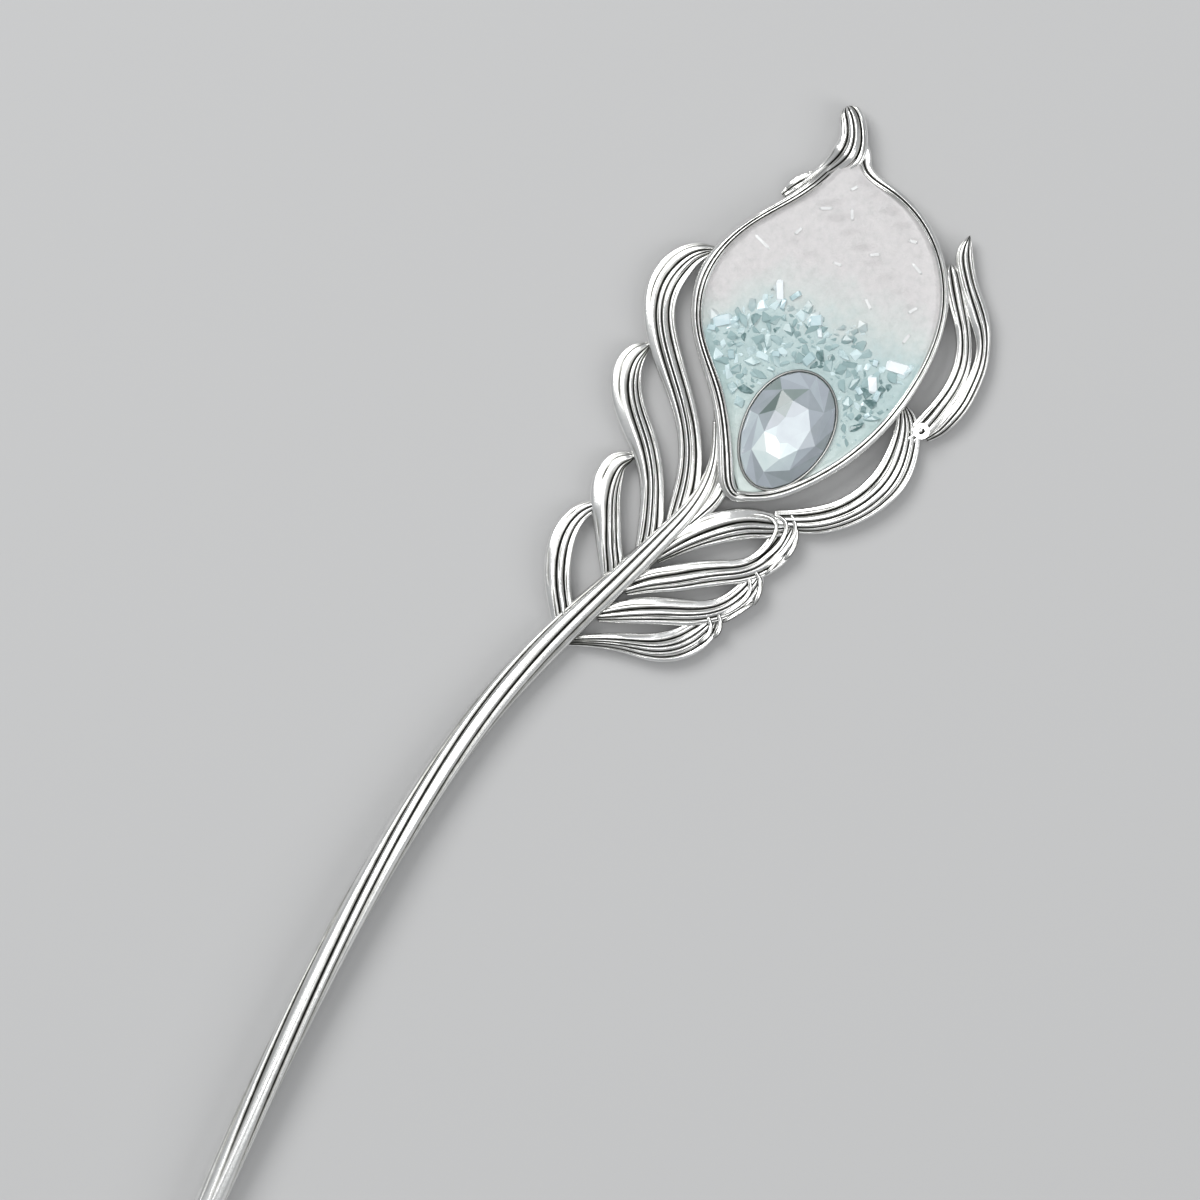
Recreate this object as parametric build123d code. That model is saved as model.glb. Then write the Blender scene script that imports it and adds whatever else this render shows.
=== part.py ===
"""Feather hair stick: a twisted silver stem whose upper end is the quill of an openwork
feather, with a flame-shaped resin bezel that holds crushed aquamarine and a faceted oval stone.

The stick lies on its back. +Y runs from the point of the stem to the flame at the top of the
head, +Z is the face of the feather, and the head is drawn around the middle of its bezel.
"""

from build123d import *
import os
from itertools import combinations
from math import atan2, cos, hypot, pi, radians, sin, tau
from random import Random

# ---------------------------------------------------------------- driving dimensions, mm
HEAD_MIDDLE = (-0.2, 62.95)      # where the bezel's middle stands in the part's own frame

STEM_R = 1.5                     # smooth round stretch below the twist
TWIST_TURNS = 1.1                # turns of the grooves from the smooth stretch to the quill's end
GROOVE_DEPTH = 0.24              # of the stem's radius
STRANDS = 5                      # strands seen round the stem
TWIST_STATIONS = 27              # sections that the twisted length is drawn through
TWIST_SEAT = 0.5                 # how far the twisted length runs into the smooth stretch
TWIST_SHOULDER = 0.05            # step in radius where it comes out
ROUND_START = (-10.35, -111.0)   # top of the smooth stretch, about the bezel's middle
ROUND_END = (-9.25, -130.0)      # where the taper to the point begins
POINT = (-8.3, -146.4)           # end of the stem
POINT_R = 0.75
POINT_FLAT_R = 0.1
POINT_CLEARANCE = 0.03           # keeps the point level with the back of the bezel
STRETCH_RISE = 1.92              # rise of the smooth stretch's centre line from point to twist
QUILL_Z = 1.65                   # height of the quill's centre line behind the head

FRAME_HEIGHT = 2.9               # outer wall of the bezel
STRIP_HEIGHT = 3.25              # thin inner wall that holds the resin
STRIP_WALL = 0.35
PLATE_THICKNESS = 0.6
RESIN_TOP = 2.7
PLUME_BASE = 0.45                # underside of the plumes above the bezel's back

STONE_MIDDLE = (2.4, -11.4)
STONE_HALF = (4.25, 6.2)         # half width and half length of the girdle
STONE_EGG = 0.07                 # how much wider the upper end of the stone is
GIRDLE_Z = 3.0
COLLET_WALL = 0.25
COLLET_HEIGHT = 3.35
SEAT_Z = 2.55                    # ledge inside the collet that the stone rests on
SEAT_WIDTH = 0.45

EYELET_MIDDLE = (14.2, -4.9)
EYELET_R = 0.8
EYELET_HOLE_R = 0.35
EYELET_TOP = 2.5

# The quill's centre line as (x, y, radius), from the smooth stretch up to the bezel's left wall.
QUILL = [
    (-11.5, -94.0, 1.52),
    (-12.1, -77.0, 1.56),
    (-11.6, -61.0, 1.56),
    (-10.1, -49.5, 1.56),
    (-7.5, -39.6, 1.52),
    (-5.0, -32.4, 1.35),
    (-2.95, -26.0, 1.12),
    (-1.95, -21.4, 0.85),
    (-2.25, -17.6, 0.6),
    (-3.6, -14.2, 0.3),
]

QUILL_END_HEADING = (-0.5, 0.86, 0)

# Each plume's centre line as (x, y, width), from its root on the quill to its tip.
PLUMES = {
    "plume_left_1": [
        (-7.8, -38.9, 2.2), (-9.8, -36.3, 2.6), (-11.2, -33.9, 2.7), (-11.95, -31.5, 2.6),
        (-11.9, -29.3, 2.1), (-11.1, -27.6, 1.5), (-9.7, -26.4, 0.6),
    ],
    "plume_left_2": [
        (-5.9, -32.2, 2.4), (-7.4, -30.1, 2.6), (-8.9, -27.9, 2.8), (-10.2, -25.9, 3.1),
        (-10.9, -23.9, 2.9), (-10.8, -22.3, 2.2), (-9.6, -20.9, 0.9),
    ],
    "plume_left_3": [
        (-4.3, -27.9, 2.6), (-5.4, -25.0, 2.5), (-7.2, -21.9, 2.5), (-9.8, -19.1, 2.9),
        (-12.4, -16.9, 3.1), (-14.1, -14.6, 3.1), (-14.5, -12.3, 2.4), (-13.7, -10.3, 1.0),
    ],
    "plume_left_4": [
        (-2.9, -23.6, 2.6), (-4.0, -19.8, 2.5), (-5.9, -16.4, 2.4), (-8.9, -13.1, 2.6),
        (-12.2, -10.0, 3.0), (-14.4, -7.2, 3.2), (-15.3, -4.3, 3.4), (-15.0, -2.0, 3.1),
        (-14.0, -0.1, 2.1), (-12.3, 1.2, 0.9),
    ],
    "plume_right_1": [
        (-6.6, -40.3, 0.8), (-3.3, -38.5, 1.3), (-0.9, -37.6, 1.8), (1.4, -36.7, 2.6),
        (3.4, -35.1, 3.2), (4.7, -33.0, 2.8), (5.3, -31.2, 1.7),
    ],
    "plume_right_2": [
        (-5.2, -36.6, 0.9), (-2.2, -34.3, 1.9), (0.5, -32.8, 2.3), (3.2, -31.6, 2.3),
        (5.3, -30.1, 2.4), (6.6, -27.8, 2.4), (7.1, -25.0, 1.4),
    ],
    "plume_right_3": [
        (-4.1, -33.0, 1.1), (-2.2, -31.0, 1.7), (-0.2, -29.5, 2.2), (1.8, -28.0, 2.5),
        (3.6, -26.9, 2.6), (5.5, -25.6, 2.5), (6.9, -23.7, 2.8), (7.5, -21.3, 2.8),
        (7.6, -19.2, 1.5),
    ],
    "plume_right_4": [
        (-3.0, -28.8, 1.1), (-0.7, -24.9, 2.4), (1.4, -22.7, 3.0), (3.8, -21.1, 3.0),
        (5.9, -20.3, 2.5), (7.6, -19.3, 1.5),
    ],
    "plume_right_5": [
        (5.6, -19.7, 1.8), (8.6, -18.2, 2.7), (11.2, -16.0, 3.0), (13.0, -13.2, 3.3),
        (13.8, -10.0, 3.5), (13.3, -7.4, 2.9), (12.4, -5.3, 2.1), (11.3, -3.6, 1.2),
    ],
    "plume_right_6": [
        (14.35, -4.35, 2.1), (14.6, -2.1, 1.9), (14.85, 0.4, 1.8), (14.45, 3.2, 1.7),
        (13.2, 5.6, 1.6), (11.25, 7.95, 1.8), (9.95, 9.5, 1.8), (8.7, 11.1, 1.4),
    ],
    "plume_right_7": [
        (15.75, -4.1, 1.1), (16.2, -2.4, 1.5), (16.5, -0.4, 1.6), (16.45, 1.6, 1.6),
        (16.2, 3.6, 1.5), (15.4, 5.7, 1.5), (13.6, 8.0, 2.0), (11.7, 9.85, 1.8),
        (10.35, 11.35, 1.8), (9.45, 12.7, 1.7), (9.0, 14.6, 0.4),
    ],
    "flame_tip": [
        (-9.0, 8.9, 0.9), (-8.2, 10.3, 1.2), (-7.2, 12.0, 1.5), (-6.3, 13.9, 2.0),
        (-5.7, 15.4, 2.6), (-5.7, 16.9, 2.8), (-6.4, 18.2, 2.5), (-7.2, 19.2, 2.2),
        (-8.0, 19.8, 1.4),
    ],
}
# Ridges side by side across each plume, as shares of its width from left to right.
RIDGES = {
    "plume_left_1": (0.42, 0.28, 0.3),
    "plume_left_2": (0.5, 0.24, 0.26),
    "plume_left_3": (0.5, 0.22, 0.28),
    "plume_left_4": (0.3, 0.2, 0.26, 0.24),
    "plume_right_4": (0.5, 0.26, 0.24),
    "plume_right_5": (0.24, 0.22, 0.27, 0.27),
    "plume_right_6": (0.5, 0.5),
    "plume_right_7": (0.55, 0.45),
}
THREE_RIDGES = (0.32, 0.33, 0.35)
SIDE_SHARE = 0.42                # height of a plume's upright sides against its full height
GROOVE_SHARE = 0.4               # depth of a groove against the width of the ridge beside it
DOME_DROP = 0.3                  # fall of the outermost ridge against the full height
PLUME_HEIGHTS = {"plume_left_1": 1.95, "plume_right_4": 2.0, "plume_right_6": 1.75, "flame_tip": 2.2}
PLUME_HEIGHT = 1.8

# The order in which the pieces of the openwork are coped: each is cut to fit round those before.
COPING_ORDER = [
    "stem", "flame_tip", "bezel_frame", "bezel_strip", "tassel_eyelet", "rim_bud",
    "plume_left_4", "plume_left_3", "plume_left_1", "plume_left_2",
    "plume_right_5", "plume_right_4", "plume_right_3", "plume_right_2", "plume_right_1",
    "plume_right_6", "plume_right_7",
]

# The bezel's outlines, left and right sides from the bottom point to the top point.
INNER_LEFT = [(1.3, -18.9), (-0.35, -17.2), (-2.0, -14.7), (-5.2, -10.7), (-9.6, -6.6),
              (-11.6, -1.8), (-10.2, 5.1), (-6.9, 10.6), (-5.1, 16.0)]
INNER_RIGHT = [(1.3, -18.9), (3.45, -17.65), (6.25, -14.7), (9.35, -8.9), (10.9, -1.5),
               (9.75, 6.7), (5.35, 12.1), (0.1, 14.1), (-3.1, 14.6), (-5.1, 16.0)]
OUTER_LEFT = [(0.9, -20.1), (-2.9, -16.1), (-6.3, -11.6), (-10.8, -7.0), (-12.9, -1.9),
              (-11.5, 4.6), (-8.3, 10.2), (-5.9, 17.6)]
OUTER_RIGHT = [(0.9, -20.1), (3.8, -18.7), (7.0, -15.4), (10.3, -9.3), (11.8, -1.5), (10.6, 7.0),
               (5.95, 12.85), (0.5, 15.05), (-2.1, 15.5), (-3.6, 16.6), (-4.9, 18.1), (-5.9, 17.6)]

CHIP_SPACING = 1.75              # middle to middle of the aquamarine chips
CHIP_SIZE = 0.66                 # their half width, and their half thickness
CHIP_FLAT = 0.5
CHIP_Z = 2.55
CHIP_STRETCH = 1.25              # the longest chip against its half width
CHIP_CLEARANCE = 0.2             # between the chips and the stone's cup
CHIP_TOP_EDGE = 0.3              # how high up the bezel the aquamarine reaches
CHIP_BOTTOM_EDGE = -11.6
GLINT_Z = 3.32
GLINT_THICKNESS = 0.4
GLINTS = [                       # bright splinters on the chips: x, y, turn in degrees, length, width
    (-4.9, 0.5, 119, 2.6, 0.8), (9.1, -0.6, 9, 2.9, 1.2), (7.7, -3.2, 119, 2.2, 1.0),
    (-8.5, -4.9, 39, 2.4, 1.2), (-0.3, -0.4, 30, 1.6, 1.2), (-2.9, 1.2, 60, 1.3, 0.7),
    (5.2, -1.5, 80, 1.4, 0.7), (-6.7, -2.3, 20, 1.5, 0.7), (2.5, -0.9, -30, 1.5, 0.8),
    (-9.7, -1.4, 100, 1.4, 0.7), (8.2, -6.7, 60, 1.5, 0.6), (-4.2, -6.4, 45, 1.5, 0.7),
    (-7.0, -7.0, -40, 1.3, 0.6), (-2.4, -3.6, 70, 1.4, 0.6),
]
SLIVER_WIDTH = 0.28
SLIVER_THICKNESS = 0.2
SLIVERS = [                      # quartz needles in the resin: x, y, turn in degrees, length
    (-8.8, 3.9, -16, 2.2), (-4.9, 9.9, 29, 1.5), (-2.3, 10.6, -60, 1.3), (1.6, 8.2, 35, 1.2),
    (6.0, 9.0, -20, 1.5), (7.6, 5.2, 60, 1.2), (-6.2, 6.6, 70, 1.1), (3.4, 3.6, -35, 1.4),
    (-1.2, 5.6, 10, 1.0), (8.4, 2.4, 80, 1.3), (4.3, 11.2, 15, 1.0), (-3.4, 13.0, 55, 0.9),
]

RANDOM_SEED = 21


# ---------------------------------------------------------------- outlines and sections
def outline(left, right):
    """A flat face between two smooth sides that meet in a point at the bottom and the top."""
    return make_face([Spline(*left), Spline(*right)])


def grown(left, right, amount):
    """The same two sides moved outwards by a wall's thickness, with sharp corners kept."""
    lines = Spline(*left), Spline(*right)
    moved = []
    for line, points, side in zip(lines, (left, right), (-1, 1)):
        aheads = [line.tangent_at(line.param_at_point(Vector(*point))) for point in points]
        moved.append([(x + side * amount * ahead.Y, y - side * amount * ahead.X)
                      for (x, y), ahead in zip(points, aheads)])
    for end, sign in ((0, 1), (-1, -1)):
        one, other = (line.tangent_at(-end) * sign for line in lines)
        reach = amount / sin(radians(one.get_angle(other)) / 2)
        corner = Vector(*left[end]) - (one + other).normalized() * reach
        for points in moved:
            points[end] = (corner.X, corner.Y)
    return moved


def egg(half_width, half_length):
    """The stone's plan: an oval, a little wider towards its upper end."""
    points = [egg_point(half_width, half_length, k * tau / 24) for k in range(24)]
    return make_face(Spline(*points, periodic=True))


def egg_point(half_width, half_length, angle):
    swell = 1 + STONE_EGG * sin(angle)
    return (STONE_MIDDLE[0] + half_width * cos(angle) * swell,
            STONE_MIDDLE[1] + half_length * sin(angle))


def upright_plane(line, share, rise):
    """The vertical plane across a level centre line, with its x to the right of the line."""
    ahead = line.tangent_at(share)
    return Plane(
        origin=(line @ share) + Vector(0, 0, rise),
        x_dir=Vector(ahead.Y, -ahead.X, 0),
        z_dir=-Vector(ahead.X, ahead.Y, 0),
    )


def ridged_section(plane, width, height, ridges):
    """A flat-backed strip's section: upright sides and a domed row of round ridges."""
    edges = [-width / 2]
    for share in ridges:
        edges.append(edges[-1] + share * width)
    levels = [SIDE_SHARE * height]
    for k in range(1, len(ridges)):
        groove = GROOVE_SHARE * width * min(ridges[k - 1], ridges[k])
        levels.append(dome(edges[k], width, height) - groove)
    levels.append(SIDE_SHARE * height)
    corners = list(zip(edges, levels))
    pieces = [Line((-width / 2, 0), (width / 2, 0)), Line((width / 2, 0), corners[-1])]
    for low, high in reversed(list(zip(corners, corners[1:]))):
        crest_x = (low[0] + high[0]) / 2
        pieces.append(ThreePointArc(high, (crest_x, dome(crest_x, width, height)), low))
    pieces.append(Line(corners[0], (-width / 2, 0)))
    return plane * Wire(pieces)


def dome(x, width, height):
    """Height of the ridges' crests across a strip."""
    return height * (1 - DOME_DROP * (2 * x / width) ** 2)


def strand_section(plane, radius, depth, turn):
    """A round section of equal strands; with no depth it is a plain circle."""
    valley_r = radius * (1 - depth)
    pieces = []
    for k in range(STRANDS):
        start = turn + k * tau / STRANDS
        middle, end = start + pi / STRANDS, start + tau / STRANDS
        pieces.append(ThreePointArc(
            (valley_r * cos(start), valley_r * sin(start)),
            (radius * cos(middle), radius * sin(middle)),
            (valley_r * cos(end), valley_r * sin(end)),
        ))
    return plane * Wire(pieces)


def between(places, values, at):
    """The value at a place along a list of places, on straight lines between its entries."""
    after = next((i for i, place in enumerate(places) if place >= at), len(places) - 1)
    before = max(after - 1, 0)
    if after == before:
        return values[0]
    blend = (at - places[before]) / (places[after] - places[before])
    return values[before] + (values[after] - values[before]) * min(blend, 1.0)


def smooth(share):
    """0 to 1 with level ends."""
    share = min(max(share, 0.0), 1.0)
    return share * share * (3 - 2 * share)


# ---------------------------------------------------------------- metal parts
def round_stretch_z(y):
    """Height of the straight stretch's centre line, which slopes down to the point."""
    share = (y - POINT[1]) / (ROUND_START[1] - POINT[1])
    return POINT_R + POINT_CLEARANCE + STRETCH_RISE * share


def quill_z(y):
    """Height of the quill's centre line: on from the straight stretch, over the arch and down."""
    start_y, end_y = ROUND_START[1], QUILL[4][1]
    if y > end_y:
        return QUILL_Z
    share = (y - start_y) / (end_y - start_y)
    slope = STRETCH_RISE / (start_y - POINT[1]) * (end_y - start_y)
    start_z = round_stretch_z(start_y)
    return ((2 * share**3 - 3 * share**2 + 1) * start_z
            + (share**3 - 2 * share**2 + share) * slope
            + (3 * share**2 - 2 * share**3) * QUILL_Z)


def make_stem():
    """The quill and stem: a twisted length that runs into a smooth turned length with a point."""
    start = Vector(*ROUND_START, round_stretch_z(ROUND_START[1]))
    taper = Vector(*ROUND_END, round_stretch_z(ROUND_END[1]))
    point = Vector(*POINT, round_stretch_z(POINT[1]))
    down = (taper - start).normalized()

    seat = start + down * TWIST_SEAT
    path = Spline([seat] + [(x, y, quill_z(y)) for x, y, _ in QUILL],
                  tangents=[-down, QUILL_END_HEADING])
    radii = [STEM_R - TWIST_SHOULDER] + [r for _, _, r in QUILL]
    places = [0.0] + [path.param_at_point(Vector(x, y, quill_z(y))) for x, y, _ in QUILL]
    sections = []
    for k in range(TWIST_STATIONS):
        share = k / (TWIST_STATIONS - 1)
        ahead = path.tangent_at(share)
        plane = Plane(origin=path @ share, x_dir=Vector(ahead.Y, -ahead.X, 0), z_dir=ahead)
        depth = GROOVE_DEPTH * smooth(share / 0.2) * (1 - 0.5 * smooth((share - 0.8) / 0.2))
        turn = share * TWIST_TURNS * tau
        sections.append(strand_section(plane, between(places, radii, share), depth, turn))
    twisted = Solid.make_loft(sections)

    length = (taper - start).length
    full = (point - start).length
    profile = make_face([
        Line((0, 0), (STEM_R, 0)),
        Line((STEM_R, 0), (STEM_R, length)),
        Spline((STEM_R, length), (0.5 * (STEM_R + POINT_R) + 0.1, 0.5 * (length + full)),
               (POINT_R, full - POINT_R), tangents=[(0, 1), (-0.08, 1)]),
        ThreePointArc((POINT_R, full - POINT_R), (0.74 * POINT_R, full - 0.3 * POINT_R),
                      (POINT_FLAT_R, full)),
        Line((POINT_FLAT_R, full), (0, full)),
        Line((0, full), (0, 0)),
    ])
    turned = revolve(Plane.XZ * profile, Axis.Z)
    return Plane(origin=start, z_dir=down) * turned + twisted


def make_plume(name):
    """A carved strip along its centre line, high in the middle and thin at the tip."""
    stations = PLUMES[name]
    line = Spline(*[(x, y, 0) for x, y, _ in stations])
    ridges = RIDGES.get(name, THREE_RIDGES)
    height = PLUME_HEIGHTS.get(name, PLUME_HEIGHT)
    sections = []
    for k, (x, y, width) in enumerate(stations):
        share = k / (len(stations) - 1)
        place = line.param_at_point(Vector(x, y, 0))
        rise = PLUME_BASE + 0.35 * smooth((share - 0.6) / 0.4)
        tall = height * (1 - 0.5 * smooth((share - 0.55) / 0.45)) * (0.8 + 0.2 * smooth(share / 0.3))
        tall = min(tall, max(0.75 * width, 0.6) + 0.35)
        sections.append(ridged_section(upright_plane(line, place, rise), width, tall, ridges))
    return Solid.make_loft(sections)


def make_rim_bud():
    """The small bud on the outside of the bezel below the flame."""
    stations = [(-8.9, 9.6, 0.5), (-8.6, 10.6, 1.0), (-8.1, 11.6, 1.0), (-7.7, 12.5, 0.5)]
    line = Spline(*[(x, y, 0) for x, y, _ in stations])
    sections = []
    for x, y, width in stations:
        plane = upright_plane(line, line.param_at_point(Vector(x, y, 0)), 0.9)
        sections.append(ridged_section(plane, width, 0.9 + 0.7 * width, (0.5, 0.5)))
    return Solid.make_loft(sections)


def make_eyelet():
    """A tube that stands through the joint of the right-hand plumes."""
    span = EYELET_TOP - PLUME_BASE
    tube = Cylinder(EYELET_R, span, align=(Align.CENTER, Align.CENTER, Align.MIN))
    hole = Cylinder(EYELET_HOLE_R, span, align=(Align.CENTER, Align.CENTER, Align.MIN))
    return Pos(*EYELET_MIDDLE, PLUME_BASE) * (tube - hole)


def make_collet():
    """The stone's cup: a thin wall above the ledge and a thicker one below it."""
    a, b = STONE_HALF
    outside = extrude(egg(a + COLLET_WALL, b + COLLET_WALL), COLLET_HEIGHT - PLATE_THICKNESS)
    pocket = extrude(Pos(0, 0, SEAT_Z - PLATE_THICKNESS) * egg(a, b), COLLET_HEIGHT)
    bore = extrude(egg(a - SEAT_WIDTH, b - SEAT_WIDTH), COLLET_HEIGHT)
    return Pos(0, 0, PLATE_THICKNESS) * (outside - pocket - bore)


# ---------------------------------------------------------------- stones
def hull_solid(points):
    """The convex solid round a few points, with one flat face for each plane that bounds it."""
    middle = sum((Vector(*p) for p in points), Vector(0, 0, 0)) / len(points)
    corners = [Vector(*p) for p in points]
    facets = {}
    for a, b, c in combinations(range(len(corners)), 3):
        normal = (corners[b] - corners[a]).cross(corners[c] - corners[a])
        if normal.length < 1e-9:
            continue
        normal = normal.normalized()
        if normal.dot(middle - corners[a]) > 0:
            normal = -normal
        heights = [normal.dot(p - corners[a]) for p in corners]
        if max(heights) > 1e-6:
            continue
        members = frozenset(i for i, h in enumerate(heights) if h > -1e-6)
        facets[members] = normal
    return Solid(Shell([facet_face(corners, m, n) for m, n in facets.items()]))


def facet_face(corners, members, normal):
    """One flat facet through the corners that lie on it, taken in order round its normal."""
    middle = sum((corners[i] for i in members), Vector(0, 0, 0)) / len(members)
    plane = Plane(origin=middle, z_dir=normal)

    def angle(i):
        local = plane.to_local_coords(corners[i])
        return atan2(local.Y, local.X)

    around = sorted(members, key=angle)
    return Face(Wire.make_polygon([corners[i] for i in around], close=True))


def make_stone():
    """An oval brilliant: table, crown, girdle and a shallow pointed back."""
    a, b = STONE_HALF
    rings = [  # share of the girdle's size, height above the girdle, corners, turn
        (0.50, 1.75, 8, 0.5), (0.79, 1.05, 8, 0.0), (1.0, 0.09, 16, 0.0), (1.0, -0.09, 16, 0.0),
        (0.55, -1.0, 8, 0.5),
    ]
    points = [(*STONE_MIDDLE, GIRDLE_Z - 1.9)]
    for scale, height, count, turn in rings:
        for k in range(count):
            x, y = egg_point(scale * a, scale * b, (k + turn) * tau / count)
            points.append((x, y, GIRDLE_Z + height))
    return hull_solid(points)


def make_chip(random, x, y, z, size, flat):
    """One broken crystal: the hull of a few points scattered over a squashed ball."""
    stretch = random.uniform(1.0, CHIP_STRETCH)
    turn = random.uniform(0, tau)
    points = []
    for k in range(9):
        up = 1 - 2 * (k + 0.5) / 9
        round_angle = k * 2.4 + random.uniform(-0.5, 0.5)
        out = (1 - up * up) ** 0.5
        px, py = out * cos(round_angle) * stretch, out * sin(round_angle) / stretch
        points.append((
            x + size * (px * cos(turn) - py * sin(turn)),
            y + size * (px * sin(turn) + py * cos(turn)),
            z + flat * up * random.uniform(0.8, 1.0),
        ))
    return hull_solid(points)


def inside_bezel(face, x, y, margin):
    """True if a disc of that margin lies in the bezel and clear of the stone's cup."""
    for k in range(8):
        angle = k * tau / 8
        at = Vector(x + margin * cos(angle), y + margin * sin(angle), 0)
        if not face.is_inside(at):
            return False
    dx, dy = x - STONE_MIDDLE[0], y - STONE_MIDDLE[1]
    reach = margin + COLLET_WALL + CHIP_CLEARANCE
    wide = STONE_HALF[0] * (1 + STONE_EGG)
    return hypot(dx / (wide + reach), dy / (STONE_HALF[1] + reach)) > 1


def make_chips(face):
    """Chips on a loose triangular grid over the lower part of the bezel."""
    random = Random(RANDOM_SEED)
    chips = []
    reach = CHIP_SIZE * CHIP_STRETCH
    slack = CHIP_SPACING / 2 - reach
    row_height = CHIP_SPACING * sin(pi / 3)
    rows = int((CHIP_TOP_EDGE - CHIP_BOTTOM_EDGE) / row_height) + 2
    for row in range(rows):
        for column in range(-8, 9):
            x = (column + 0.5 * (row % 2)) * CHIP_SPACING + random.uniform(-slack, slack)
            y = CHIP_BOTTOM_EDGE + row * row_height + random.uniform(-slack, slack)
            below_edge = y < CHIP_TOP_EDGE + 1.2 * sin(0.7 * x + 1.2)
            if below_edge and inside_bezel(face, x, y, reach):
                scale = random.uniform(0.85, 1.0)
                chips.append(make_chip(random, x, y, CHIP_Z, CHIP_SIZE * scale, CHIP_FLAT * scale))
    return chips


def make_needle(x, y, z, turn, length, width, thickness):
    """A flat needle of crystal with a point at each end."""
    half = length / 2
    points = [(half, 0, 0), (-half, 0, 0)]
    points += [(end * half * 0.7, across * width / 2, rise * thickness / 2)
               for end in (-1, 1) for across in (-1, 1) for rise in (-1, 1)]
    place = Pos(x, y, z) * Rot(0, 0, turn)
    return hull_solid([(place * Pos(*point)).position for point in points])


# ---------------------------------------------------------------- assembly
def boxes_meet(one, other):
    """True if the two shapes' bounding boxes overlap."""
    a, b = one.bounding_box(optimal=False), other.bounding_box(optimal=False)
    return (a.min.X < b.max.X and b.min.X < a.max.X and a.min.Y < b.max.Y and b.min.Y < a.max.Y
            and a.min.Z < b.max.Z and b.min.Z < a.max.Z)


def coped(shape, others):
    """The main body of a shape once the others have been cut out of it."""
    for other in others:
        if boxes_meet(shape, other):
            shape = shape - other
    return max(shape.solids(), key=lambda solid: solid.volume)


def make_openwork(inner):
    """The metal: stem, bezel walls, eyelet and plumes, fitted to each other face to face."""
    strip_outside = outline(*grown(INNER_LEFT, INNER_RIGHT, STRIP_WALL))
    blanks = {name: make_plume(name) for name in PLUMES}
    blanks["stem"] = make_stem()
    blanks["bezel_frame"] = extrude(outline(OUTER_LEFT, OUTER_RIGHT) - strip_outside, FRAME_HEIGHT)
    blanks["bezel_strip"] = extrude(strip_outside - inner, STRIP_HEIGHT)
    blanks["tassel_eyelet"] = make_eyelet()
    blanks["rim_bud"] = make_rim_bud()
    fitted = {}
    for name in COPING_ORDER:
        fitted[name] = coped(blanks[name], fitted.values())
    return fitted


def make_parts():
    inner = outline(INNER_LEFT, INNER_RIGHT)
    parts = make_openwork(inner)
    parts["back_plate"] = coped(extrude(inner, PLATE_THICKNESS), [parts["flame_tip"]])
    parts["stone_collet"] = coped(make_collet(), [parts["bezel_strip"]])
    parts["faceted_stone"] = make_stone()
    chips = make_chips(inner)
    glints = [make_needle(x, y, GLINT_Z, turn, length, width, GLINT_THICKNESS)
              for x, y, turn, length, width in GLINTS]
    slivers = [make_needle(x, y, RESIN_TOP, turn, length, SLIVER_WIDTH, SLIVER_THICKNESS)
               for x, y, turn, length in SLIVERS]
    parts["aquamarine_chips"] = Compound(children=chips)
    parts["aquamarine_glints"] = Compound(children=glints)
    parts["quartz_slivers"] = Compound(children=slivers)
    resin = Pos(0, 0, PLATE_THICKNESS) * extrude(inner, RESIN_TOP - PLATE_THICKNESS)
    cup = extrude(egg(STONE_HALF[0] + COLLET_WALL, STONE_HALF[1] + COLLET_WALL), COLLET_HEIGHT)
    parts["resin_bed"] = resin - cup - chips - slivers - parts["flame_tip"]
    return parts


def main():
    os.makedirs("parts", exist_ok=True)
    for name, shape in make_parts().items():
        export_step(Pos(*HEAD_MIDDLE, 0) * shape, f"parts/{name}.step")


main()
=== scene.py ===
"""The looks of the feather hair stick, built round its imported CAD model.

Lengths in the tables are millimetres about the middle of the bezel, as in the part's own source.
MM turns them into metres and HEAD puts them in the part's frame.
"""

from math import cos, pi, radians, sin, tau
from random import Random

import bmesh
import bpy
import numpy as np
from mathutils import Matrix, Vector


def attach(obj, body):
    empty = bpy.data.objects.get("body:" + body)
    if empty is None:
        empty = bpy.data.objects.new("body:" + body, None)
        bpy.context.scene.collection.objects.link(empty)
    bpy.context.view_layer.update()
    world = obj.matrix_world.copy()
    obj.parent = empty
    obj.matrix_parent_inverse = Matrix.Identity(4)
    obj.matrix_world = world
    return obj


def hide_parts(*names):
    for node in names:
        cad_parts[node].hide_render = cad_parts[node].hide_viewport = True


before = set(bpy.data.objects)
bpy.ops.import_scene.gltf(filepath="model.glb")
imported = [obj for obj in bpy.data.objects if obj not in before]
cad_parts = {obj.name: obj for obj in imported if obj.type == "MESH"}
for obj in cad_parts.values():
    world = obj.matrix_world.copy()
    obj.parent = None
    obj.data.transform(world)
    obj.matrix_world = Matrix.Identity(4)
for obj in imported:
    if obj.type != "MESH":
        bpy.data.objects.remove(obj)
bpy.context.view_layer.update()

MM = 0.001
HEAD = np.array([-0.2, 62.95, 0.0])

# ---------------------------------------------------------------- the object's own sizes, mm
QUILL = [                        # centre line of stem and quill: x, y, height, radius
    (-8.3, -146.3, 0.78, 0.55), (-8.55, -141.0, 1.07, 1.05), (-8.9, -135.6, 1.37, 1.35),
    (-9.25, -130.0, 1.67, 1.5), (-9.8, -120.5, 2.18, 1.5), (-10.35, -111.0, 2.7, 1.5),
    (-11.5, -94.0, 3.05, 1.52), (-12.1, -77.0, 3.0, 1.56), (-11.6, -61.0, 2.45, 1.56),
    (-10.1, -49.5, 1.9, 1.56), (-7.5, -39.6, 1.65, 1.52), (-5.0, -32.4, 1.7, 1.35),
    (-2.95, -26.0, 1.8, 1.12), (-1.95, -21.4, 1.85, 0.85), (-2.35, -17.6, 1.9, 0.62),
    (-4.2, -13.9, 1.9, 0.35),
]
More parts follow.
